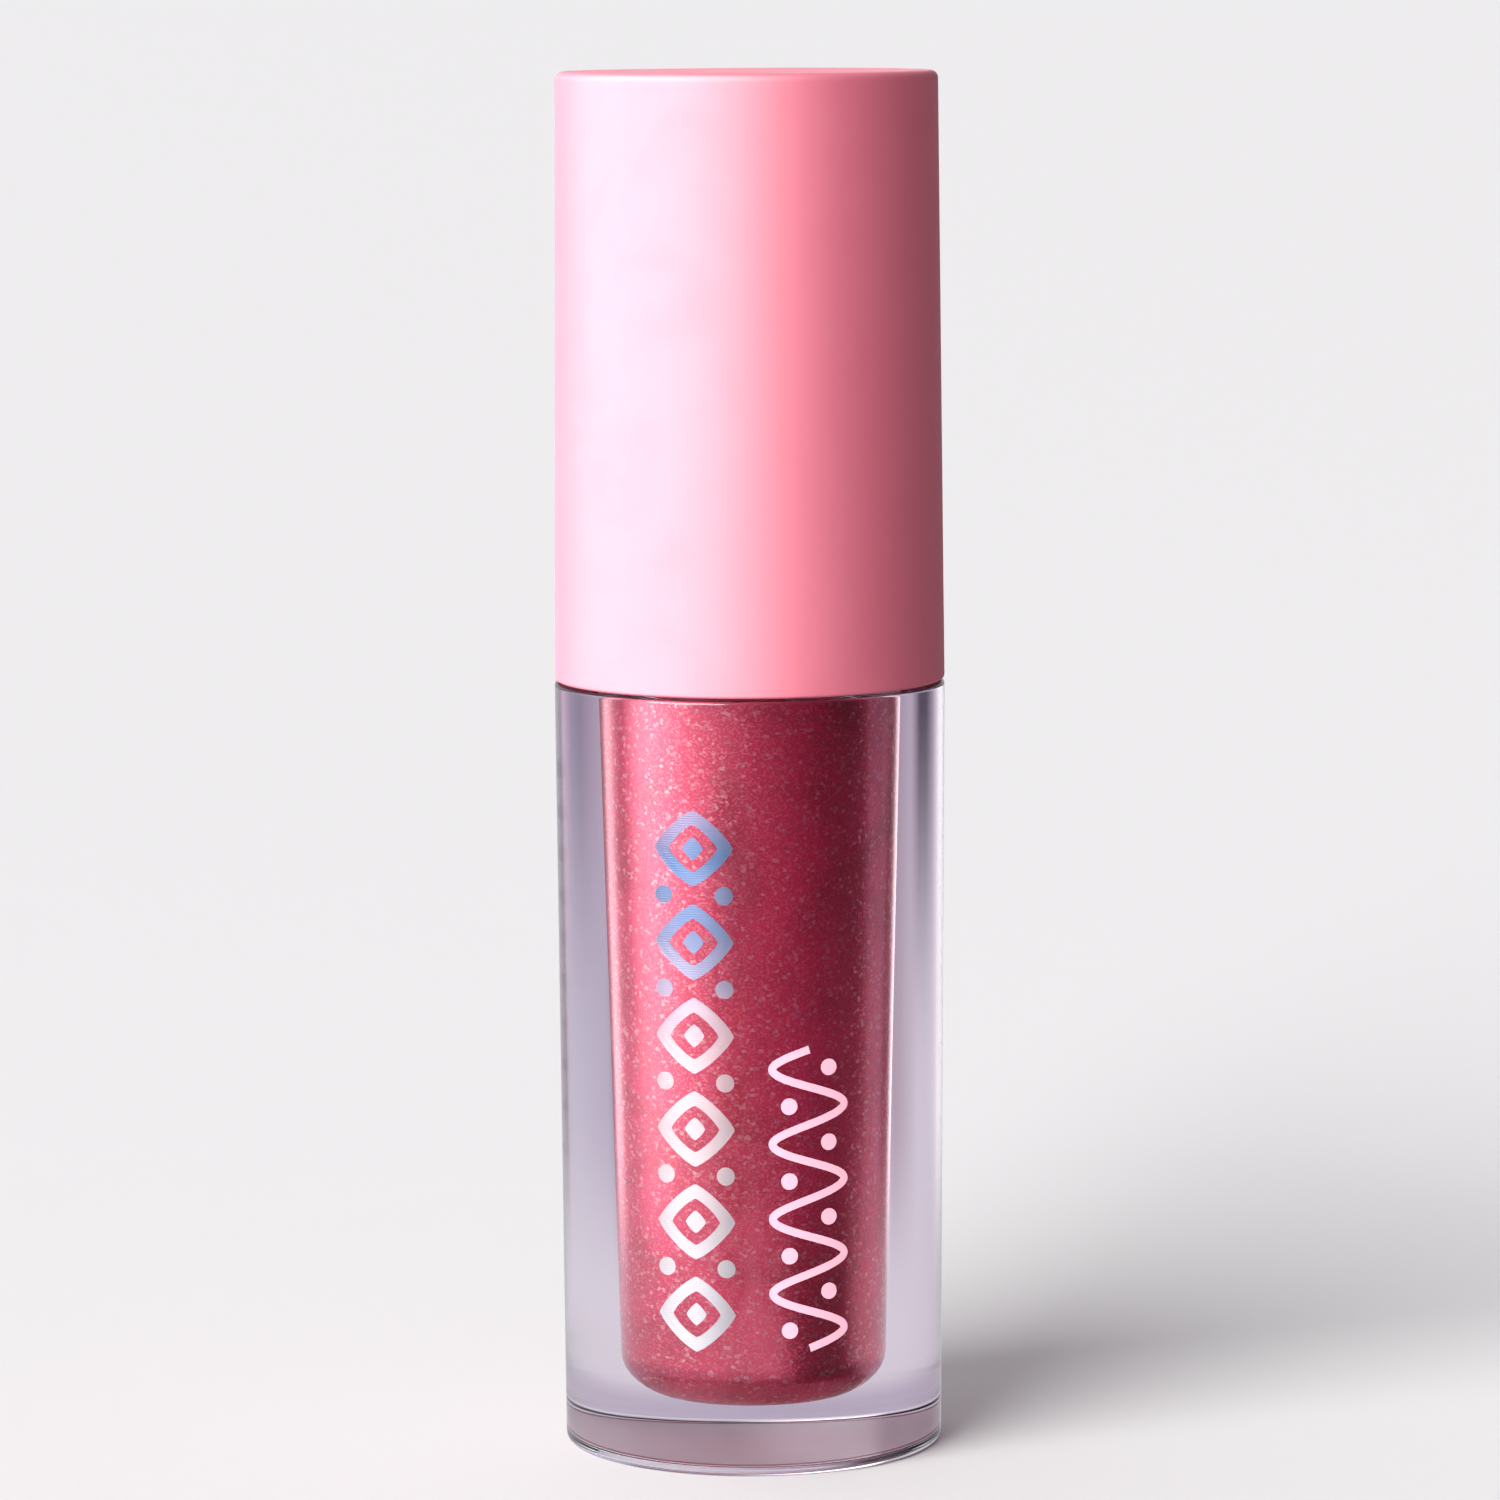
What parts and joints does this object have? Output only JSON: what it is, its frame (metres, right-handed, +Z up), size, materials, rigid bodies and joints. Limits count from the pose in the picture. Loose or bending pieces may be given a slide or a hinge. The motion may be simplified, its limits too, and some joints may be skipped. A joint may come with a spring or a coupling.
{
  "type": "lip gloss tube",
  "caption": "Straight round lip gloss tube: a thick-walled clear bottle of tinted gloss under a flush screw cap that carries the applicator wand.",
  "frame": {"origin": "centre of the base, on the plane the tube stands on", "axes": "+Z up along the tube's axis, +X towards where the outer thread begins, -Y towards the front of the print"},
  "size_m": [0.02, 0.02, 0.0706],
  "materials": {
    "clear_body": "polished clear plastic",
    "gloss_fill": "opaque shimmer",
    "soft_natural": "natural soft plastic",
    "label": "satin",
    "liner": "matt white",
    "insert": "natural",
    "satin_cap": "satin",
    "flock": "short nylon flock"
  },
  "bodies": {
    "bottle_body": {"bottle": "clear_body", "gloss": "gloss_fill", "wiper": "soft_natural", "base_label": "label"},
    "liner_body": {"cap_liner": "liner"},
    "wand_body": {"rod": "insert"},
    "cap_body": {"overcap": "satin_cap", "inner_cap": "insert", "tip_core": "soft_natural", "tip_flock": "flock"}
  },
  "joints": [
    {"name": "wand_pull", "type": "slide", "parent": "bottle_body", "child": "liner_body", "axis": [0, 0, 1], "range_m": [0, 0.06]},
    {"name": "thread_lift", "type": "slide", "parent": "liner_body", "child": "wand_body", "axis": [0, 0, 1], "range_m": [0, 0.00301]},
    {"name": "cap_turn", "type": "hinge", "parent": "wand_body", "child": "cap_body", "pos_m": [0, 0, 0.0396], "axis": [0, 0, 1], "range_deg": [0, 540]}
  ],
  "couplings": [
    {"joint": "thread_lift", "follows": "cap_turn", "m_per_rad": 0.00031831}
  ]
}
